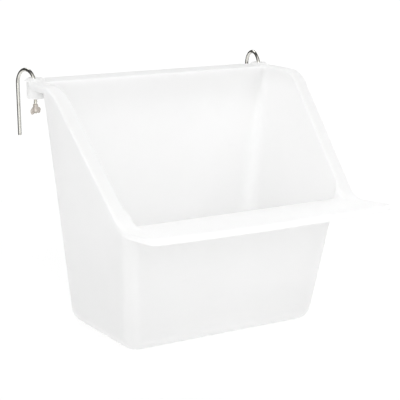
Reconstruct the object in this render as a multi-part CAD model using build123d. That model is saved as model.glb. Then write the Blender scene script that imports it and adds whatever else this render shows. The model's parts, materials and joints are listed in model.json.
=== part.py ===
from build123d import *
import os
from math import cos, hypot, radians, sin, tan

# Hook-on feed bucket.  Millimetres, +X right, +Y to the wall it hangs on, +Z up.
# The origin is the centre of the flat base, on the floor.

# Tub: flat walls that lean outwards from the base
BASE_HALF_WIDTH = 171.0
BASE_HALF_DEPTH = 102.4
SIDE_DRAFT = 0.109          # outward lean of each wall, mm per mm of height
FRONT_DRAFT = 0.141
BACK_DRAFT = 0.010
WALL = 3.6
FRONT_CORNER = (24.0, 14.0)  # upright corner radius at the base and at the top of the walls
BACK_CORNER = (36.0, 12.0)
BASE_EDGE = 21.0            # radius between the walls and the base
LOFT_TOP = 420.0            # height up to which the walls are drawn before they are cut

# Rim line from the side: level at the back, a straight slope, then the lip
RIM_HEIGHT = 384.0
SLOPE_RISE = 1.01           # rise per mm towards the back
SLOPE_AT_CENTRE = 353.0     # height of the slope's line over the origin
LIP_RISE = -0.09            # the lip climbs towards the front
LIP_AT_CENTRE = 193.2       # height of the lip's line over the origin
SHOULDER_RADIUS = 57.0
ELBOW_RADIUS = 50.0

# Rim in plan
RIM_THICKNESS = 3.6
RIM_BAND = 10.0             # depth of the edge that turns down all round
RIM_HALF_WIDTH = 190.4      # where the rim's leaning side would meet the floor
RIM_BACK = 146.0
RIM_BACK_CORNER = 52.0
LIP_FRONT = -235.6          # front edge at its two ends
LIP_BOW = 11.0              # how far the middle of the front edge stands forward
LIP_CORNER = 11.0
CHEEK_FRONT = -175.0        # the side walls run on past the front wall, and die out in the lip
CHEEK_BACK = -105.0
LIP_BLOCK_BACK = -90.0      # how far back the lip's line is carried, behind the front wall
OUTLINE_HEIGHTS = (150.0, 420.0)

# Lugs that hold the hooks, one at each back corner
LUG_X = 210.6
LUG_Y = 123.4
LUG_RADIUS = 13.3
LUG_BOTTOM = 356.0
COLLAR_HEIGHT = 4.0
COLLAR_BASE_RADIUS = 14.5
COLLAR_TOP_RADIUS = 11.0
FLARE_BOTTOM = 373.0
FLARE_RADIUS = 9.0

# Hooks of bent wire
WIRE_RADIUS = 2.8
FIT_CLEARANCE = 0.08        # radial, shank in the lug and in the wing nut
BEND_RADIUS = 23.75
BEND_START = 374.0          # height where the left shank starts to bend
SHANK_END = 332.5
TAIL_END = 292.0
TAIL_LEAN = 3.0             # degrees, the rear leg closes towards the bucket
SPLAY = 9.0                 # degrees, each hook is turned outwards
RIGHT_HOOK_LIFT = 5.0       # the right hook stands higher in its lug

# Wing nuts
NUT_TOP = 347.0
NUT_HEIGHT = 15.5
NECK_RADIUS = 4.0
NECK_HEIGHT = 4.0
HUB_TOP_RADIUS = 4.6
HUB_RADIUS = 5.8
HUB_HEIGHT = 7.5
WING_SPAN = 27.0
WING_THICKNESS = 2.6
WING_TIP_RADIUS = 4.2
WING_TURN = 30.0            # degrees about the shank, from the left-right direction

REACH = 300.0               # half length of cutting blocks, larger than the bucket


def wall_section(height, inset):
    """Rounded rectangle on the tub's walls at a height, moved inwards by the inset."""
    half_width = BASE_HALF_WIDTH + SIDE_DRAFT * height - inset
    front = -BASE_HALF_DEPTH - FRONT_DRAFT * height + inset
    back = BASE_HALF_DEPTH + BACK_DRAFT * height - inset
    outline = Pos(0, (front + back) / 2) * Rectangle(2 * half_width, back - front)
    for row, (at_base, at_top) in ((0, FRONT_CORNER), (-1, BACK_CORNER)):
        radius = at_base + (at_top - at_base) * height / LOFT_TOP - inset
        outline = fillet(outline.vertices().group_by(Axis.Y)[row], radius)
    return Pos(0, 0, height) * outline


def wall_block(bottom, inset):
    """Solid block inside the walls, with a rounded bottom edge."""
    block = loft([wall_section(height, inset) for height in (bottom, LOFT_TOP)], ruled=True)
    bottom_edges = block.faces().sort_by(Axis.Z)[0].edges()
    return fillet(bottom_edges, BASE_EDGE - inset)


def rim_crossing(first, second, drop):
    """Where two straight stretches of the rim line cross, lowered square to each by the drop."""
    (rise_1, start_1), (rise_2, start_2) = first, second
    level_1 = start_1 - drop * hypot(1, rise_1)
    level_2 = start_2 - drop * hypot(1, rise_2)
    y = (level_2 - level_1) / (rise_1 - rise_2)
    return y, level_1 + rise_1 * y


def lip_height(y, drop):
    """Height of the lip's straight line, lowered square to itself by the drop."""
    return LIP_AT_CENTRE + LIP_RISE * y - drop * hypot(1, LIP_RISE)


def below_rim(drop):
    """Block of everything lower than the rim line, seen from the side, less a thickness."""
    lip = (LIP_RISE, LIP_AT_CENTRE)
    slope = (SLOPE_RISE, SLOPE_AT_CENTRE)
    level = (0.0, RIM_HEIGHT)
    front = (-REACH, lip_height(-REACH, drop))
    elbow = rim_crossing(lip, slope, drop)
    shoulder = rim_crossing(slope, level, drop)
    back = (REACH, RIM_HEIGHT - drop)
    top = FilletPolyline(front, elbow, shoulder, back,
                         radius=[ELBOW_RADIUS + drop, SHOULDER_RADIUS - drop])
    rest = Polyline(back, (REACH, -REACH), (-REACH, -REACH), front)
    return extrude(Plane.YZ * make_face([top, rest]), amount=REACH, both=True)


def below_lip(drop):
    """Block of everything lower than the lip's line carried straight back, less a thickness."""
    corners = [(y, lip_height(y, drop)) for y in (-REACH, LIP_BLOCK_BACK)]
    side = Polyline(*corners, (LIP_BLOCK_BACK, -REACH), (-REACH, -REACH), close=True)
    return extrude(Plane.YZ * make_face(side), amount=REACH, both=True)


def between_sides(inset, front, back):
    """Block between the two leaning side walls, from one place along Y to another."""
    low, high = [BASE_HALF_WIDTH + SIDE_DRAFT * height - inset for height in OUTLINE_HEIGHTS]
    bottom, top = OUTLINE_HEIGHTS
    corners = Polyline((-low, bottom), (low, bottom), (high, top), (-high, top), close=True)
    return extrude(Plane((0, front, 0), z_dir=(0, 1, 0), x_dir=(-1, 0, 0)) * make_face(corners), back - front)


def rim_section(height, inset):
    """The rim's outline in plan at a height: bowed front, straight sides, round back corners."""
    half_width = RIM_HALF_WIDTH + SIDE_DRAFT * height - inset
    front = LIP_FRONT + inset
    back = RIM_BACK - inset
    bow = ThreePointArc((-half_width, front), (0, front - LIP_BOW), (half_width, front))
    rest = Polyline((half_width, front), (half_width, back), (-half_width, back), (-half_width, front))
    outline = make_face([bow, rest])
    rows = outline.vertices().group_by(Axis.Y)
    outline = fillet(rows[0], LIP_CORNER - inset)
    back_points = outline.vertices().group_by(Axis.Y)[-1]
    return Pos(0, 0, height) * fillet(back_points, RIM_BACK_CORNER - inset)


def rim_block(inset):
    """Tall block of the rim's outline, whose sides lean out with the tub's walls."""
    return loft([rim_section(height, inset) for height in OUTLINE_HEIGHTS], ruled=True)


def upright_cone(bottom, bottom_radius, top, top_radius):
    """Cone or cylinder round the Z axis between two heights."""
    middle = Pos(0, 0, (bottom + top) / 2)
    if bottom_radius == top_radius:
        return middle * Cylinder(bottom_radius, top - bottom)
    return middle * Cone(bottom_radius, top_radius, top - bottom)


def make_tub():
    """The moulded tub: walls, base, rim with its turned-down edge, lip, and two bored lugs.

    The lip is flat between the side walls, which run on over it as two low cheeks up to the rim.
    """
    body = wall_block(0, 0) & below_rim(0)
    rim = (below_rim(0) - below_rim(RIM_THICKNESS)) & rim_block(0)
    band = (below_rim(0) - below_rim(RIM_BAND)) & (rim_block(0) - rim_block(RIM_THICKNESS))
    lug = upright_cone(LUG_BOTTOM, LUG_RADIUS, RIM_HEIGHT, LUG_RADIUS)
    lug += upright_cone(RIM_HEIGHT, COLLAR_BASE_RADIUS, RIM_HEIGHT + COLLAR_HEIGHT, COLLAR_TOP_RADIUS)
    bore_radius = WIRE_RADIUS + FIT_CLEARANCE
    bore = upright_cone(LUG_BOTTOM, bore_radius, FLARE_BOTTOM, bore_radius)
    bore += upright_cone(FLARE_BOTTOM, bore_radius, RIM_HEIGHT + COLLAR_HEIGHT, FLARE_RADIUS)
    places = [Pos(side * LUG_X, LUG_Y, 0) for side in (-1, 1)]
    cheeks = between_sides(0, CHEEK_FRONT, CHEEK_BACK) & (below_rim(0) - below_lip(RIM_THICKNESS))
    tub = body + rim + band + cheeks
    for place in places:
        tub += place * lug
    tub -= between_sides(WALL, CHEEK_FRONT, LIP_BLOCK_BACK) - below_lip(0)
    tub -= wall_block(WALL, WALL)
    for place in places:
        tub -= place * bore
    return tub


def make_hook():
    """J-shaped wire: upright shank on the Z axis, a half-round bend, and a rear leg along +Y."""
    shank = Line((0, 0, SHANK_END), (0, 0, BEND_START))
    turn = 180 + TAIL_LEAN
    centre = Vector(0, BEND_RADIUS, BEND_START)
    middle = centre + BEND_RADIUS * Vector(0, -cos(radians(turn / 2)), sin(radians(turn / 2)))
    end = centre + BEND_RADIUS * Vector(0, -cos(radians(turn)), sin(radians(turn)))
    bend = ThreePointArc(shank @ 1, middle, end)
    inward = (end.Z - TAIL_END) * tan(radians(TAIL_LEAN))
    tail = Line(end, (0, end.Y - inward, TAIL_END))
    profile = Pos(0, 0, SHANK_END) * Circle(WIRE_RADIUS)
    return sweep(profile, path=Wire([shank, bend, tail]))


def make_wing_nut():
    """Wing nut round the Z axis: neck, tapered hub, and two wings that spread downwards."""
    neck_bottom = NUT_TOP - NECK_HEIGHT
    hub_bottom = neck_bottom - HUB_HEIGHT
    nut_bottom = NUT_TOP - NUT_HEIGHT
    nut = upright_cone(neck_bottom, NECK_RADIUS, NUT_TOP, NECK_RADIUS)
    nut += upright_cone(hub_bottom, HUB_RADIUS, neck_bottom, HUB_TOP_RADIUS)
    for side in (-1, 1):
        tip = side * WING_SPAN / 2
        outline = make_face(Polyline((0, neck_bottom), (side * HUB_TOP_RADIUS, neck_bottom),
                                     (tip, neck_bottom - NECK_HEIGHT), (tip, nut_bottom),
                                     (side * HUB_RADIUS, nut_bottom), (0, hub_bottom), close=True))
        tips = outline.vertices().group_by(Axis.X)[0 if side < 0 else -1]
        outline = fillet(tips, WING_TIP_RADIUS)
        nut += extrude(Plane.XZ * outline, amount=WING_THICKNESS / 2, both=True)
    bore_radius = WIRE_RADIUS + FIT_CLEARANCE
    nut -= upright_cone(nut_bottom, bore_radius, NUT_TOP, bore_radius)
    return nut


def place_on_lug(piece, side, turn):
    """Puts a piece made round the Z axis on the left (-1) or right (1) lug, turned outwards."""
    lift = RIGHT_HOOK_LIFT if side > 0 else 0
    return Pos(side * LUG_X, LUG_Y, lift) * Rot(0, 0, -side * turn) * piece


nodes = {"tub": make_tub()}
for name, side in (("left", -1), ("right", 1)):
    nodes["hook_" + name] = place_on_lug(make_hook(), side, SPLAY)
    nodes["wing_nut_" + name] = place_on_lug(make_wing_nut(), side, WING_TURN)

os.makedirs("parts", exist_ok=True)
for name, node in nodes.items():
    export_step(node, f"parts/{name}.step")
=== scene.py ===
import json
import math

import bmesh
import bpy
import numpy as np
from mathutils import Matrix, Vector


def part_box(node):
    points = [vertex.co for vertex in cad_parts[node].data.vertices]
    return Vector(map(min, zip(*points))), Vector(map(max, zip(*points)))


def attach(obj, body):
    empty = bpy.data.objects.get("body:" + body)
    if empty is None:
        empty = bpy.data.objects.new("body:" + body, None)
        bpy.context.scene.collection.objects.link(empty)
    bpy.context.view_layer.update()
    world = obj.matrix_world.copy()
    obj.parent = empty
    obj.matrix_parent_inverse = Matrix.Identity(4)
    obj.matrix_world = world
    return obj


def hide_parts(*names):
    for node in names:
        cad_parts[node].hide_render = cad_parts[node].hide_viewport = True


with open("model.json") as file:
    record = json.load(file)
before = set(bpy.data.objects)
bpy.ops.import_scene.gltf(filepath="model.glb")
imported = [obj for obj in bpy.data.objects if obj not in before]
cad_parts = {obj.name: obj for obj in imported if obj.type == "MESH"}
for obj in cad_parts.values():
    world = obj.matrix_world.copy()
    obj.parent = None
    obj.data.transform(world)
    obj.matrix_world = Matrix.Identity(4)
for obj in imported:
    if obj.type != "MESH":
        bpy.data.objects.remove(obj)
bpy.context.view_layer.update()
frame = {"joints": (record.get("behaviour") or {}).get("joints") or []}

# Hook-on feed bucket: moulded tub, two wire hooks, two cast wing nuts.  Metres, +Z up, +Y to the back.

# Tub walls
BASE_HALF_WIDTH = 0.1710
BASE_HALF_DEPTH = 0.1024
SIDE_DRAFT = 0.109
FRONT_DRAFT = 0.141
BACK_DRAFT = 0.010
WALL = 0.0036
WALL_TOP = 0.420
FRONT_CORNER = (0.0240, 0.0140)     # upright corner radius at the base and at the wall top
BACK_CORNER = (0.0360, 0.0120)
BASE_EDGE = 0.0210

# Rim line seen from the side: the lip, a straight slope, and the level back
LIP_RISE, LIP_AT_CENTRE = -0.09, 0.1932
SLOPE_RISE, SLOPE_AT_CENTRE = 1.01, 0.3530
RIM_HEIGHT = 0.3840
ELBOW_RADIUS = 0.050
SHOULDER_RADIUS = 0.057

# Rim in plan, and its section
RIM_HALF_WIDTH = 0.1904
RIM_BACK = 0.1460
RIM_BACK_CORNER = 0.0520
LIP_FRONT = -0.2356
LIP_BOW = 0.0110
LIP_CORNER = 0.0110
RIM_THICKNESS = 0.0036
RIM_BAND = 0.0100
INNER_EDGE = 0.0026                 # rounding between the inside wall and the rim
OUTER_EDGE = 0.0032
BAND_EDGE = 0.0012
BAND_ROOT = 0.0020                  # inside corner of the band
WALL_ROOT = 0.0040                  # inside corner under the rim
ELBOW_START = -0.130                # where the lip's side edge hands over to the side rim
CHEEK_FROM, CHEEK_TO = 0.1800, 0.1895

# Lugs and hooks
LUG_RADIUS = 0.0133
LUG_BOTTOM = 0.3560
FLARE_BOTTOM = 0.3730
BEND_RADIUS = 0.02375
WIRE_RADIUS = 0.0028
TAIL_LEAN = math.radians(3.0)
SPLAY = math.radians(9.0)
THREAD_PITCH = 0.0010
THREAD_DEPTH = 0.0005
THREAD_LENGTH = 0.0270
SHANK_LENGTH = 0.0415               # from the shank's end to where the bend starts
CHAMFER = 0.0006
BORE_RADIUS = 0.00288
FLARE_RADIUS = 0.0090
COLLAR_RADIUS = 0.0122
HOLE_RADIUS = 0.0108                # cut through the rim inside the lug
HOLE_REACH = 0.009                  # how far that cut goes above and below the rim
HOLE_CORE = 0.0004                  # radius of the pin left in its middle, inside the lug's bore
LUG_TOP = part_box("tub")[1][2]
LUG_X = frame["joints"][0]["pos_m"][0] * -1
LUG_Y = frame["joints"][0]["pos_m"][1]

# Wing nuts
NECK_RADIUS = 0.0040
NECK_HEIGHT = 0.0040
HUB_TOP_RADIUS = 0.0046
HUB_RADIUS = 0.0058
WING_SPAN = 0.0270
WING_THICKNESS = 0.0026
WING_REACH = 0.0052                 # half sizes of a wing along and across
WING_DROP = 0.0050
WING_TURN = math.radians(30.0)
WING_TILT = math.radians(24.0)
WING_SQUARENESS, WING_ROUNDNESS = 0.55, 0.8     # powers of the superellipsoid
CAST_GRAIN = 0.00026                # fineness of the cast shape

# Colours
TUB_WHITE = (0.935, 0.935, 0.932, 1)
TUB_SHADE = (0.915, 0.916, 0.912, 1)
TUB_RUBBED = (0.84, 0.84, 0.83, 1)
MILKY_DEPTH = 0.026                 # how far light travels inside the plastic
PLASTIC_IOR = 1.51
HOOK_BRIGHT = (0.78, 0.77, 0.73, 1)
HOOK_DARK = (0.70, 0.69, 0.64, 1)
HOOK_DULL = (0.58, 0.56, 0.50, 1)
NUT_PALE = (0.66, 0.62, 0.58, 1)
NUT_WARM = (0.56, 0.51, 0.46, 1)

# Studio
CAMERA_AZIMUTH = math.radians(-33.162)
CAMERA_ELEVATION = math.radians(13.374)
CAMERA_ROLL = math.radians(1.033)
CAMERA_AIM = (0.0, -0.0235, 0.2013)
CAMERA_DISTANCE = 2.136
CAMERA_LENS = 122.96
SENSOR_WIDTH, CAMERA_REACH = 36.0, 100.0
FLOOR_RADIUS = 0.9
FLOOR_DROP = -0.0002
FLOOR_SIDES = 96
FLOOR_GLOW = 0.56
FLOOR_PAINT = (0.45, 0.45, 0.45, 1)
WORLD_LEVEL = 0.67                  # the surroundings as light on the object
SEEN_LEVEL = 1.05                   # the surroundings as the lens sees them
MIRROR_FRONT = (-0.50, -0.80, 0.33)
MIRROR_EDGE = (0.35, 0.75)
MIRROR_DARK = 0.08                  # the surroundings in reflections: dark room, bright towards the front
MIRROR_BRIGHT = 0.9
SOFTBOX_SIZE = 1.2
SOFTBOX_AIM = (0.0, 0.0, 0.22)
SOFTBOXES = (("key", (-1.0, -2.3, 1.2), 14.5), ("right", (1.0, -2.2, 1.2), 8.5),
             ("low_left", (-1.2, -2.0, 0.5), 3.5), ("side_left", (-2.2, -0.4, 0.9), 7.5),
             ("back_right", (1.9, 1.0, 0.9), 9.0), ("back_top", (0.2, 1.6, 2.0), 9.5))


# ---------------------------------------------------------------- mesh tools

def sheet_faces(rows, columns, across=True, along=False):
    """Quads of a grid, joined up across the columns and, if asked, from the last row to the first."""
    r = np.arange(rows if along else rows - 1)
    c = np.arange(columns if across else columns - 1)
    low, left = np.meshgrid(r, c, indexing="ij")
    high, right = (low + 1) % rows, (left + 1) % columns
    quads = np.stack([low * columns + left, low * columns + right, high * columns + right,
                      high * columns + left], axis=-1)
    return quads.reshape(-1, 4)


def make_piece(name, points, quads, poles=(), sharp=None):
    """A mesh object from points and quads; each pole, (centre index, ring), is closed by triangles."""
    triangles = [np.stack([np.full(len(ring), centre), np.roll(ring, -1), ring], axis=-1)
                 for centre, ring in poles]
    faces = [quads.tolist()] + [t.tolist() for t in triangles]
    mesh = bpy.data.meshes.new(name)
    mesh.from_pydata(points.tolist(), [], [face for group in faces for face in group])
    mesh.validate()
    face_outwards(mesh)
    piece = bpy.data.objects.new(name, mesh)
    bpy.context.scene.collection.objects.link(piece)
    finish_shading(piece, sharp)
    return piece


def face_outwards(mesh):
    """Recalculates the normals of a closed mesh so that they point outwards."""
    shell = bmesh.new()
    shell.from_mesh(mesh)
    bmesh.ops.recalc_face_normals(shell, faces=shell.faces)
    if shell.calc_volume(signed=True) < 0:
        bmesh.ops.reverse_faces(shell, faces=shell.faces)
    shell.to_mesh(mesh)
    shell.free()


def finish_shading(piece, sharp=None):
    """Smooth shading, with edges sharper than an angle in degrees kept hard."""
    mesh = piece.data
    mesh.polygons.foreach_set("use_smooth", np.ones(len(mesh.polygons), dtype=bool))
    if sharp is not None:
        mesh.set_sharp_from_angle(angle=math.radians(sharp))
    mesh.update()


def combine(piece, other, operation):
    """Joins or cuts one closed piece with another, and drops the other."""
    change = piece.modifiers.new("shape", "BOOLEAN")
    change.operation = operation
    change.solver = "EXACT"
    change.object = other
    settle(piece)
    bpy.data.objects.remove(other)


def settle(piece):
    """Applies a piece's modifiers, so that its mesh is final."""
    shaped = bpy.data.meshes.new_from_object(piece.evaluated_get(bpy.context.evaluated_depsgraph_get()))
    piece.modifiers.clear()
    piece.data = shaped


def turned(name, profile, centre, steps=72, sharp=35):
    """Surface of revolution of a closed (radius, height) profile round an upright axis."""
    turn = np.linspace(0, 2 * math.pi, steps, endpoint=False)
    radius, height = np.array(profile).T
    points = np.stack([centre[0] + radius[:, None] * np.cos(turn), centre[1] + radius[:, None] * np.sin(turn),
                       np.broadcast_to(height[:, None], (len(radius), steps))], axis=-1)
    quads = sheet_faces(len(radius), steps, along=True)
    return make_piece(name, points.reshape(-1, 3), quads, sharp=sharp)


def smooth_step(value, low, high):
    """0 below low, 1 above high, and a smooth cubic between them."""
    t = np.clip((value - low) / (high - low), 0, 1)
    return t * t * (3 - 2 * t)


def quarter(count):
    """Angles of a quarter turn, both ends included."""
    return np.linspace(0, math.pi / 2, count)


def spread(first, last, count, ends=False):
    """Evenly spaced values from first, leaving out the last one unless both ends are asked for."""
    return np.linspace(first, last, count, endpoint=ends)


# ---------------------------------------------------------------- tub

def side_line(y, drop):
    """Height of the side rim over y, lowered square to itself by the drop.

    Three straight lines (lip, slope, level back), with height = start + rise * y, joined by two arcs:
    height = centre - bend * sqrt(radius^2 - (y - centre y)^2).
    """
    lines = [(LIP_RISE, LIP_AT_CENTRE), (SLOPE_RISE, SLOPE_AT_CENTRE), (0.0, RIM_HEIGHT)]
    lines = [(rise, start - drop * math.hypot(1, rise)) for rise, start in lines]
    radii = [ELBOW_RADIUS + drop, SHOULDER_RADIUS - drop]
    height = lines[0][1] + lines[0][0] * y
    for (rise, start), (next_rise, next_start), radius, bend in zip(lines, lines[1:], radii, (1, -1)):
        corner = (next_start - start) / (rise - next_rise)
        angle, next_angle = math.atan(rise), math.atan(next_rise)
        reach = radius * math.tan(abs(next_angle - angle) / 2)
        begin = corner - reach * math.cos(angle)
        end = corner + reach * math.cos(next_angle)
        centre_y = begin - bend * radius * math.sin(angle)
        centre_z = start + rise * begin + bend * radius * math.cos(angle)
        arc = centre_z - bend * np.sqrt(np.maximum(radius ** 2 - (y - centre_y) ** 2, 0))
        height = np.where(y > begin, np.where(y < end, arc, next_start + next_rise * y), height)
    return height


def rim_height(x, y, drop):
    """Height of the rim over a plan point: the flat lip in the middle, blended up into the side line."""
    lip = LIP_AT_CENTRE - drop * math.hypot(1, LIP_RISE) + LIP_RISE * y
    middle = np.where(y < 0, lip, side_line(y, drop))
    side = np.where(y < 0, smooth_step(np.abs(x), CHEEK_FROM, CHEEK_TO), 1)
    return middle + (side_line(y, drop) - middle) * side


def round_the_tub(counts, lip_share=None):
    """Where each column of the tub's grid stands on a rounded rectangle, counter-clockwise from front left.

    Returns place (across -1 to 1, back 0 to 1) of the corner centre or of the point between two of them,
    and the outward normal.  With a lip share, the front corners' columns also run back along that share
    of the sides.
    """
    front, front_corner, side, back_corner, back = counts
    share = lip_share or 0.0
    arc = front_corner if lip_share is None else front_corner // 3
    run = front_corner - arc
    right = [(spread(-1, 1, front), np.zeros(front), np.full(front, -math.pi / 2)),
             (np.ones(arc), np.zeros(arc), spread(-math.pi / 2, 0, arc)),
             (np.ones(run), spread(0, share, run), np.zeros(run)),
             (np.ones(side), spread(share, 1, side), np.zeros(side)),
             (np.ones(back_corner), np.ones(back_corner), spread(0, math.pi / 2, back_corner)),
             (spread(1, -1, back), np.ones(back), np.full(back, math.pi / 2))]
    across, behind, angle = [np.concatenate(group) for group in zip(*right)]
    half = slice(front, front + arc + run + side + back_corner + 1)
    mirrored = [-across[half][:0:-1], behind[half][:0:-1], math.pi - angle[half][:0:-1]]
    across, behind, angle = [np.concatenate(pair) for pair in zip((across, behind, angle), mirrored)]
    return across, behind, np.cos(angle), np.sin(angle)


COUNTS = (80, 36, 70, 18, 50)       # columns on front, front corner, side, back corner, back
BASE_ROWS, WALL_ROWS = 12, 34
RIM_ROWS, UNDERSIDE_ROWS = 38, 32
BASE_START = 0.06                   # size of the base's smallest ring, as a share of the base
RIM_PASSES, WALL_PASSES = 4, 80     # steps towards the height at which a point meets the rim
RIM_SIDE = (RIM_BACK - RIM_BACK_CORNER) - (LIP_FRONT + LIP_CORNER)
LIP_SHARE = (ELBOW_START - LIP_FRONT - LIP_CORNER) / RIM_SIDE
WALL_PLACE = round_the_tub(COUNTS)
RIM_PLACE = round_the_tub(COUNTS, LIP_SHARE)


def wall_ring(height, inset):
    """Plan points of the walls at a height: rounded rectangle moved inwards by the inset."""
    across, behind, normal_x, normal_y = WALL_PLACE
    share = height / WALL_TOP
    front_radius = FRONT_CORNER[0] + (FRONT_CORNER[1] - FRONT_CORNER[0]) * share - inset
    back_radius = BACK_CORNER[0] + (BACK_CORNER[1] - BACK_CORNER[0]) * share - inset
    radius = front_radius + (back_radius - front_radius) * behind
    half_width = BASE_HALF_WIDTH + SIDE_DRAFT * height - inset
    front = -BASE_HALF_DEPTH - FRONT_DRAFT * height + inset + front_radius
    back = BASE_HALF_DEPTH + BACK_DRAFT * height - inset - back_radius
    x = across * (half_width - radius) + radius * normal_x
    y = front + (back - front) * behind + radius * normal_y
    return x, y


def rim_ring(drop, inset):
    """Points of the rim's outline, inset and lowered: leaning sides, round back corners, bowed front."""
    across, behind, normal_x, normal_y = RIM_PLACE
    front_radius, back_radius = LIP_CORNER - inset, RIM_BACK_CORNER - inset
    radius = front_radius + (back_radius - front_radius) * behind
    front = LIP_FRONT + inset + front_radius
    back = RIM_BACK - inset - back_radius
    height = np.full(len(across), RIM_HEIGHT)
    for _ in range(RIM_PASSES):
        half_width = RIM_HALF_WIDTH + SIDE_DRAFT * height - inset
        x = across * (half_width - radius) + radius * normal_x
        y = front + (back - front) * behind + radius * normal_y
        y = y - LIP_BOW * (1 - (x / half_width) ** 2) * np.clip(-normal_y, 0, 1)
        height = rim_height(x, y, drop)
    return x, y, height


def wall_top(inset, outward, drop):
    """Where the wall, moved outwards by some distance, reaches the rim at a drop: x, y, height."""
    height = np.full(len(WALL_PLACE[0]), RIM_HEIGHT * 0.75)
    for _ in range(WALL_PASSES):
        x, y = wall_ring(height, inset)
        reached = rim_height(x + WALL_PLACE[2] * outward, y + WALL_PLACE[3] * outward, drop)
        height = height + (reached - height) * 0.5
    return x + WALL_PLACE[2] * outward, y + WALL_PLACE[3] * outward, height


def base_rows(bottom, inset, count):
    """Rows from the middle of the base out and up round its edge, to where the wall starts."""
    edge = BASE_EDGE - inset
    rows = []
    x, y = wall_ring(np.full(1, bottom), inset + edge)
    middle_y = float(np.mean(y))
    for share in spread(BASE_START, 1, count):
        rows.append((x * share, middle_y + (y - middle_y) * share, np.full(len(x), bottom)))
    for angle in quarter(10):
        height = np.full(1, bottom + edge * (1 - math.cos(angle)))
        x, y = wall_ring(height, inset + edge * (1 - math.sin(angle)))
        rows.append((x, y, np.full(len(x), height[0])))
    return rows


def wall_rows(start, end, inset, count):
    """Rows up a wall between two sets of heights, ends left out."""
    rows = []
    for share in np.linspace(0, 1, count)[1:-1]:
        height = start + (end - start) * share
        x, y = wall_ring(height, inset)
        rows.append((x, y, height))
    return rows


def between(first, last, count, drop):
    """Rows across the rim between two plan rings, on the rim's surface at a drop, ends left out."""
    rows = []
    for share in np.linspace(0, 1, count)[1:-1]:
        x = first[0] + (last[0] - first[0]) * share
        y = first[1] + (last[1] - first[1]) * share
        rows.append((x, y, rim_height(x, y, drop)))
    return rows


def tub_surface():
    """The tub as one closed grid, from the inside of its base over the rim to the outside of its base."""
    rows = base_rows(WALL, WALL, BASE_ROWS)
    inner_top = wall_top(WALL, 0, INNER_EDGE)
    rows += wall_rows(rows[-1][2], inner_top[2], WALL, WALL_ROWS)
    for angle in quarter(7):
        rows.append(wall_top(WALL, INNER_EDGE * (1 - math.cos(angle)), INNER_EDGE * (1 - math.sin(angle))))
    outer = [rim_ring(OUTER_EDGE * (1 - math.cos(a)), OUTER_EDGE * (1 - math.sin(a))) for a in quarter(8)]
    rows += between(rows[-1], outer[0], RIM_ROWS, 0) + outer
    for drop in np.linspace(OUTER_EDGE, RIM_BAND - BAND_EDGE, 5)[1:]:
        rows.append(rim_ring(drop, 0))
    for angle in quarter(5)[1:]:
        rows.append(rim_ring(RIM_BAND - BAND_EDGE * (1 - math.sin(angle)), BAND_EDGE * (1 - math.cos(angle))))
    for angle in quarter(5):
        rows.append(rim_ring(RIM_BAND - BAND_EDGE * (1 - math.cos(angle)),
                             RIM_THICKNESS - BAND_EDGE * (1 - math.sin(angle))))
    for angle in quarter(5):
        rows.append(rim_ring(RIM_THICKNESS + BAND_ROOT * (1 - math.sin(angle)),
                             RIM_THICKNESS + BAND_ROOT * (1 - math.cos(angle))))
    root = wall_top(0, WALL_ROOT, RIM_THICKNESS)
    rows += between(rows[-1], root, UNDERSIDE_ROWS, RIM_THICKNESS)
    for angle in quarter(6):
        rows.append(wall_top(0, WALL_ROOT * (1 - math.sin(angle)),
                             RIM_THICKNESS + WALL_ROOT * (1 - math.cos(angle))))
    outside = base_rows(0.0, 0.0, BASE_ROWS)[::-1]
    rows += wall_rows(rows[-1][2], outside[0][2], 0.0, WALL_ROWS) + outside
    return rows


def make_tub():
    """Closed grid of the tub with a point in the middle of each base, then two bored lugs joined on."""
    rows = tub_surface()
    columns = len(WALL_PLACE[0])
    points = np.concatenate([np.stack(row, axis=-1) for row in rows])
    inside, outside = points[:columns].mean(axis=0), points[-columns:].mean(axis=0)
    count = len(points)
    points = np.concatenate([points, [inside, outside]])
    first = np.arange(columns)
    poles = [(count, first), (count + 1, (count - columns + first)[::-1])]
    tub = make_piece("tub_moulding", points, sheet_faces(len(rows), columns), poles)
    places = [(side * LUG_X, LUG_Y) for side in (-1, 1)]
    for place in places:
        hole = [(HOLE_CORE, RIM_HEIGHT - HOLE_REACH), (HOLE_RADIUS, RIM_HEIGHT - HOLE_REACH),
                (HOLE_RADIUS, RIM_HEIGHT + HOLE_REACH), (HOLE_CORE, RIM_HEIGHT + HOLE_REACH)]
        combine(tub, turned("hole", hole, place), "DIFFERENCE")
        combine(tub, turned("lug", lug_profile(), place), "UNION")
    tub.data.name = "tub_moulding"
    finish_shading(tub, sharp=40)
    return tub


def arc_points(centre, radius, start, end, count):
    """Points on an arc between two angles in degrees, in (radius, height)."""
    angle = np.radians(np.linspace(start, end, count))
    return [(centre[0] + radius * math.cos(a), centre[1] + radius * math.sin(a)) for a in angle]


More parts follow.
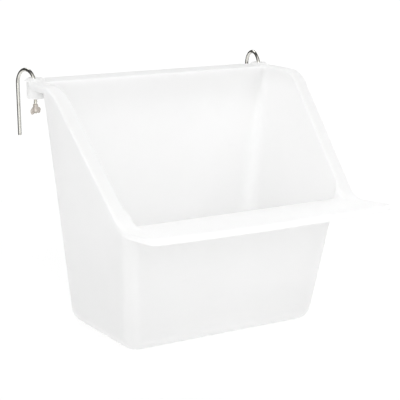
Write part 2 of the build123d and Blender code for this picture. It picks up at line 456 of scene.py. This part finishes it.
def lug_profile():
    """Half section of a lug: boss with soft edges, collar that sweeps out of the rim, flared mouth, bore."""
    top = LUG_TOP
    profile = arc_points((BORE_RADIUS + 0.0008, LUG_BOTTOM + 0.0008), 0.0008, 180, 270, 5)
    profile += arc_points((LUG_RADIUS - 0.0012, LUG_BOTTOM + 0.0012), 0.0012, 270, 360, 6)
    under = RIM_HEIGHT - RIM_BAND
    profile += [(LUG_RADIUS, under - 0.004), (LUG_RADIUS + 0.0001, under + 0.002)]
    profile += arc_points((LUG_RADIUS + 0.0002, RIM_HEIGHT - 0.0022), 0.0004, -60, 30, 3)
    profile += arc_points((LUG_RADIUS + 0.0042, RIM_HEIGHT + 0.0034), 0.0036, 268, 205, 8)
    profile += arc_points((COLLAR_RADIUS - 0.0014, top - 0.0014), 0.0014, 25, 90, 6)
    profile += arc_points((FLARE_RADIUS + 0.0007, top - 0.0007), 0.0007, 90, 150, 4)
    profile += [(BORE_RADIUS + (FLARE_RADIUS - BORE_RADIUS) * share ** 0.8, FLARE_BOTTOM
                 + (top - 0.0012 - FLARE_BOTTOM) * share) for share in np.linspace(0.96, 0, 12)]
    return profile


# ---------------------------------------------------------------- hooks and wing nuts

def make_hook(name, node, side):
    """Wire carried along shank, half-round bend and rear leg; the shank's end has a rolled helical thread."""
    low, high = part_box(node)
    tail_end, top = low[2], high[2]
    bend_start = top - WIRE_RADIUS - BEND_RADIUS
    shank_end = bend_start - SHANK_LENGTH
    thread_top = bend_start - SHANK_LENGTH + THREAD_LENGTH
    turn = math.pi + TAIL_LEAN
    shank = np.concatenate([spread(shank_end, thread_top, 260), spread(thread_top, bend_start, 6)])
    bend = spread(0, turn, 72)
    leg_top = (BEND_RADIUS * (1 - math.cos(turn)), bend_start + BEND_RADIUS * math.sin(turn))
    leg_length = (leg_top[1] - tail_end) / math.cos(TAIL_LEAN)
    leg = spread(0, leg_length, 40, ends=True)
    back = np.concatenate([np.zeros(len(shank)), BEND_RADIUS * (1 - np.cos(bend)),
                           leg_top[0] - leg * math.sin(TAIL_LEAN)])
    height = np.concatenate([shank, bend_start + BEND_RADIUS * np.sin(bend),
                             leg_top[1] - leg * math.cos(TAIL_LEAN)])
    heading = np.concatenate([np.zeros(len(shank)), bend, np.full(len(leg), turn)])
    along = np.concatenate([[0], np.cumsum(np.hypot(np.diff(back), np.diff(height)))])
    length = along[-1]
    around = np.linspace(0, 2 * math.pi, 40, endpoint=False)
    phase = (along[:, None] / THREAD_PITCH - around / (2 * math.pi)) % 1
    groove = (1 - np.abs(2 * phase - 1)) * THREAD_DEPTH
    fade = 1 - smooth_step(along, THREAD_LENGTH - 2 * THREAD_PITCH, THREAD_LENGTH)
    chamfer = np.maximum(CHAMFER - along, 0) + np.maximum(0.6 * CHAMFER - (length - along), 0)
    radius = np.maximum(WIRE_RADIUS - groove * fade[:, None] - chamfer[:, None], WIRE_RADIUS * 0.5)
    sideways, outward = radius * np.cos(around), radius * np.sin(around)
    x = sideways
    y = back[:, None] + outward * np.cos(heading)[:, None]
    z = height[:, None] - outward * np.sin(heading)[:, None]
    points = np.stack([x, y, z], axis=-1).reshape(-1, 3)
    count, columns = len(points), len(around)
    ends = [[0, back[0], height[0]], [0, back[-1], height[-1]]]
    points = np.concatenate([points, ends])
    first = np.arange(columns)
    poles = [(count, first), (count + 1, (count - columns + first)[::-1])]
    points = placed(points, side, SPLAY)
    hook = make_piece(name, points, sheet_faces(len(along), columns), poles, sharp=40)
    lengthwise = np.concatenate([np.repeat(along, columns), [0, length]])
    circle = np.stack([np.cos(around), np.sin(around)], axis=-1)
    ring = np.concatenate([np.tile(circle, (len(along), 1)), [[0, 0], [0, 0]]])
    wrap = np.concatenate([ring, lengthwise[:, None]], axis=1)
    attribute = hook.data.attributes.new("round_the_wire", "FLOAT_VECTOR", "POINT")
    attribute.data.foreach_set("vector", wrap.astype(np.float32).ravel())
    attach(hook, node)
    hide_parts(node)
    return hook


def placed(points, side, turn):
    """Points made round the Z axis, moved to the left (-1) or right (1) lug and turned outwards."""
    angle = -side * turn
    x = points[:, 0] * math.cos(angle) - points[:, 1] * math.sin(angle) + side * LUG_X
    y = points[:, 0] * math.sin(angle) + points[:, 1] * math.cos(angle) + LUG_Y
    return np.stack([x, y, points[:, 2]], axis=-1)


def wing(side, bottom):
    """One wing: a superellipsoid plate, thicker at its root, tilted so that its tip hangs lower."""
    turn = np.linspace(-math.pi, math.pi, 64, endpoint=False)
    rise = np.linspace(-math.pi / 2, math.pi / 2, 33)[1:-1]

    def power(value, exponent):
        return np.sign(value) * np.abs(value) ** exponent

    flat = power(np.cos(rise), WING_SQUARENESS)[:, None]
    out = flat * power(np.cos(turn), WING_ROUNDNESS)
    up = flat * power(np.sin(turn), WING_ROUNDNESS)
    thick = power(np.sin(rise), WING_ROUNDNESS)[:, None] * (1.15 - 0.25 * out)
    radial = WING_REACH * out * math.cos(WING_TILT) + WING_DROP * up * math.sin(WING_TILT)
    lift = -WING_REACH * out * math.sin(WING_TILT) + WING_DROP * up * math.cos(WING_TILT)
    radial = radial - radial.max() + WING_SPAN / 2
    lift = lift - lift.min() + bottom
    points = np.stack([side * radial, thick * WING_THICKNESS / 2 * np.ones_like(radial), lift], axis=-1)
    grid = points.reshape(-1, 3)
    count = len(grid)
    grid = np.concatenate([grid, [points[0].mean(axis=0), points[-1].mean(axis=0)]])
    first = np.arange(len(turn))
    poles = [(count, first), (count + 1, (count - len(turn) + first)[::-1])]
    return make_piece("wing", grid, sheet_faces(len(rise), len(turn)), poles)


def make_wing_nut(name, node, side):
    """Cast wing nut: bored neck and hub turned on the axis, two wings, and soft fillets where they meet."""
    low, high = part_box(node)
    bottom, top = low[2], high[2]
    neck = top - NECK_HEIGHT
    bore = BORE_RADIUS
    profile = [(bore, bottom + 0.0042), (bore + 0.0008, bottom + 0.0036)]
    profile += arc_points((HUB_RADIUS - 0.0016, bottom + 0.0052), 0.0016, 270, 350, 6)
    profile += [(HUB_TOP_RADIUS + 0.0004, neck - 0.0012), (HUB_TOP_RADIUS - 0.0006, neck - 0.0002),
                (NECK_RADIUS - 0.0008, neck + 0.0003)]
    profile += arc_points((NECK_RADIUS - 0.0006, top - 0.0028), 0.0006, -20, 20, 3)
    profile += arc_points((NECK_RADIUS - 0.0007, top - 0.0007), 0.0007, 0, 90, 5)
    profile += [(bore + 0.0006, top), (bore, top - 0.0006)]
    nut = turned(name, profile, (0, 0), steps=64, sharp=None)
    parts = [wing(direction, bottom) for direction in (-1, 1)]
    shell = bmesh.new()
    for part in [nut] + parts:
        shell.from_mesh(part.data)
    shell.to_mesh(nut.data)
    shell.free()
    for part in parts:
        bpy.data.objects.remove(part)
    cast = nut.modifiers.new("cast", "REMESH")
    cast.mode = "VOXEL"
    cast.voxel_size = CAST_GRAIN
    soften = nut.modifiers.new("soften", "SMOOTH")
    soften.factor = 0.5
    soften.iterations = 5
    settle(nut)
    points = np.empty(len(nut.data.vertices) * 3, dtype=np.float32)
    nut.data.vertices.foreach_get("co", points)
    nut.data.vertices.foreach_set("co", placed(points.reshape(-1, 3), side, WING_TURN).ravel())
    finish_shading(nut, sharp=60)
    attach(nut, node)
    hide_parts(node)
    return nut


# ---------------------------------------------------------------- finishes

class Wire:
    """A shader socket that can be added, subtracted, multiplied and divided."""

    def __init__(self, tree, socket):
        self.tree, self.socket = tree, socket

    def node(self, kind, settings=(), output=0, **inputs):
        """Adds a node, makes its settings, then fills its inputs with numbers, colours or wires."""
        made = self.tree.nodes.new(kind)
        for key, value in dict(settings).items():
            setattr(made, key, value)
        for key, value in inputs.items():
            socket = made.inputs[int(key[1:])] if key[1:].isdigit() else made.inputs[key.replace("_", " ")]
            if isinstance(value, Wire):
                self.tree.links.new(value.socket, socket)
            else:
                socket.default_value = value
        return Wire(self.tree, made.outputs[output])

    def maths(self, operation, first, second):
        return self.node("ShaderNodeMath", {"operation": operation}, i0=first, i1=second)

    def __add__(self, other):
        return self.maths("ADD", self, other)

    def __radd__(self, other):
        return self.maths("ADD", other, self)

    def __sub__(self, other):
        return self.maths("SUBTRACT", self, other)

    def __rsub__(self, other):
        return self.maths("SUBTRACT", other, self)

    def __mul__(self, other):
        return self.maths("MULTIPLY", self, other)

    def __rmul__(self, other):
        return self.maths("MULTIPLY", other, self)

    def mask(self, low, high):
        """0 below low, 1 above high."""
        return self.node("ShaderNodeMapRange", {"interpolation_type": "SMOOTHSTEP"},
                         Value=self, From_Min=low, From_Max=high)

    def noise(self, scale, detail=2.0, roughness=0.5, stretch=(1, 1, 1)):
        """Noise read at this position."""
        place = self.node("ShaderNodeMapping", i0=self, i3=stretch)
        return self.node("ShaderNodeTexNoise", Vector=place, Scale=scale, Detail=detail, Roughness=roughness)

    def blend(self, first, second):
        """Colour between the first and the second by this value."""
        return self.node("ShaderNodeMix", {"data_type": "RGBA"}, output=2, i0=self, i6=first, i7=second)


def new_finish(name):
    """An empty material, its shader, and a wire with the object's own coordinates."""
    material = bpy.data.materials.new(name)
    material.use_nodes = True
    tree = material.node_tree
    shader = tree.nodes["Principled BSDF"]
    place = Wire(tree, None).node("ShaderNodeTexCoord", output=3)
    return material, shader, place


def connect(shader, **wires):
    """Puts wires or numbers on the shader's sockets."""
    for key, value in wires.items():
        socket = shader.inputs[key.replace("_", " ")]
        if isinstance(value, Wire):
            value.tree.links.new(value.socket, socket)
        else:
            socket.default_value = value


def bump(height, distance, strength=1.0, under=None):
    """Bump of a height, in metres, over another bump if one is given."""
    inputs = {"Height": height, "Distance": distance, "Strength": strength}
    if under is not None:
        inputs["Normal"] = under
    return height.node("ShaderNodeBump", **inputs)


def tub_finish():
    """Moulded white polyethylene: faint clouding, satin gloss, fine grain, and light rub marks."""
    material, shader, place = new_finish("white_polyethylene")
    cloud = place.noise(7.0, 3.0)
    flow = place.noise(38.0, 4.0, 0.6, stretch=(1, 1, 0.22))
    rubs = place.noise(90.0, 6.0, 0.7, stretch=(0.35, 1, 2.2)).mask(0.60, 0.76)
    grain = place.noise(2100.0, 2.0)
    peel = place.noise(260.0, 3.0)
    clean = cloud.mask(0.3, 0.7).blend(TUB_SHADE, TUB_WHITE)
    connect(shader, Base_Color=(rubs * 0.35).blend(clean, TUB_RUBBED),
            Roughness=0.48 + cloud * 0.08 + rubs * 0.12 + flow * 0.05,
            Normal=bump(grain, 0.00004, 0.5, bump(peel, 0.00022, 0.55)))
    connect(shader, IOR=PLASTIC_IOR, Subsurface_Weight=1.0, Subsurface_Scale=MILKY_DEPTH)
    shader.inputs["Subsurface Radius"].default_value = (1, 1, 1)
    return material


def hook_finish():
    """Drawn wire, bright zinc plate: fine lines along the wire, mottled plating, dull patches."""
    material, shader, place = new_finish("zinc_plated_wire")
    wrap = place.node("ShaderNodeAttribute", {"attribute_name": "round_the_wire"}, output=1)
    lines = wrap.noise(5.0, 5.0, 0.65, stretch=(3.0, 3.0, 9.0))
    plating = place.noise(420.0, 3.0)
    dull = place.noise(60.0, 3.0).mask(0.45, 0.72)
    tint = plating.mask(0.35, 0.68).blend(HOOK_DARK, HOOK_BRIGHT)
    connect(shader, Base_Color=(dull * 0.5).blend(tint, HOOK_DULL), Metallic=1.0,
            Roughness=0.10 + lines * 0.06 + dull * 0.10,
            Normal=bump(lines, 0.00002, 0.3, bump(plating, 0.000008, 0.3)))
    return material


def wing_nut_finish():
    """Cast wing nut, matt zinc: sandy casting skin, and warmer and paler patches at random."""
    material, shader, place = new_finish("cast_zinc")
    skin = place.noise(1500.0, 4.0, 0.6)
    patch = place.noise(260.0, 3.0)
    tint = patch.mask(0.35, 0.7).blend(NUT_WARM, NUT_PALE)
    connect(shader, Base_Color=tint, Metallic=0.45, Roughness=0.42 + skin * 0.16,
            Normal=bump(skin, 0.00012, 0.6))
    return material


def dress(piece, material):
    """Gives a piece its one finish."""
    piece.data.materials.clear()
    piece.data.materials.append(material)


# ---------------------------------------------------------------- studio

def make_floor():
    """A wide pale round floor."""
    turn = np.linspace(0, 2 * math.pi, FLOOR_SIDES, endpoint=False)
    points = np.stack([FLOOR_RADIUS * np.cos(turn), FLOOR_RADIUS * np.sin(turn),
                       np.full(FLOOR_SIDES, FLOOR_DROP)], axis=-1)
    mesh = bpy.data.meshes.new("floor")
    mesh.from_pydata(points.tolist(), [], [list(range(FLOOR_SIDES))])
    floor = bpy.data.objects.new("floor", mesh)
    bpy.context.scene.collection.objects.link(floor)
    material, shader, _ = new_finish("pale_floor")
    connect(shader, Base_Color=FLOOR_PAINT, Roughness=0.9, Emission_Color=(1, 1, 1, 1),
            Emission_Strength=FLOOR_GLOW)
    dress(floor, material)


def make_world():
    """White surroundings for the lens, a softer light on the object, and a darker room in its reflections."""
    world = bpy.data.worlds.new("studio")
    world.use_nodes = True
    bpy.context.scene.world = world
    tree = world.node_tree
    background = tree.nodes["Background"]
    start = Wire(tree, None)
    lens = start.node("ShaderNodeLightPath", output=0)
    mirror = start.node("ShaderNodeLightPath", output=3)
    direction = start.node("ShaderNodeTexCoord", output=0)
    facing = start.node("ShaderNodeVectorMath", {"operation": "DOT_PRODUCT"}, output=1,
                        i0=direction, i1=MIRROR_FRONT)
    room = MIRROR_DARK + (MIRROR_BRIGHT - MIRROR_DARK) * facing.mask(*MIRROR_EDGE)
    around = WORLD_LEVEL + (room - WORLD_LEVEL) * mirror
    strength = around + (SEEN_LEVEL - around) * lens
    tree.links.new(strength.socket, background.inputs["Strength"])
    background.inputs["Color"].default_value = (1, 1, 1, 1)


def add_softbox(name, place, power):
    """A square area light that faces the bucket."""
    light = bpy.data.lights.new(name, "AREA")
    light.shape, light.size, light.energy = "SQUARE", SOFTBOX_SIZE, power
    holder = bpy.data.objects.new(name, light)
    holder.location = place
    holder.rotation_euler = (Vector(SOFTBOX_AIM) - Vector(place)).to_track_quat("-Z", "Y").to_euler()
    bpy.context.scene.collection.objects.link(holder)


def make_camera():
    """Long lens, from the front left and a little above."""
    lens = bpy.data.cameras.new("camera")
    lens.lens, lens.sensor_width = CAMERA_LENS, SENSOR_WIDTH
    lens.clip_end = CAMERA_REACH
    camera = bpy.data.objects.new("camera", lens)
    back = Vector((math.sin(CAMERA_AZIMUTH) * math.cos(CAMERA_ELEVATION),
                   -math.cos(CAMERA_AZIMUTH) * math.cos(CAMERA_ELEVATION), math.sin(CAMERA_ELEVATION)))
    camera.location = Vector(CAMERA_AIM) + back * CAMERA_DISTANCE
    level = (-back).to_track_quat("-Z", "Y").to_matrix().to_4x4()
    turn = Matrix.Rotation(CAMERA_ROLL, 4, "Z")
    camera.rotation_euler = (level @ turn).to_euler()
    bpy.context.scene.collection.objects.link(camera)
    bpy.context.scene.camera = camera


tub = make_tub()
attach(tub, "tub")
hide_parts("tub")
dress(tub, tub_finish())
wire_finish, nut_finish = hook_finish(), wing_nut_finish()
for label, side in (("left", -1), ("right", 1)):
    dress(make_hook(f"hook_wire_{label}", f"hook_{label}", side), wire_finish)
    dress(make_wing_nut(f"wing_nut_cast_{label}", f"wing_nut_{label}", side), nut_finish)

make_floor()
make_world()
for label, place, power in SOFTBOXES:
    add_softbox(label, place, power)
make_camera()
bpy.context.scene.view_settings.view_transform = "Standard"
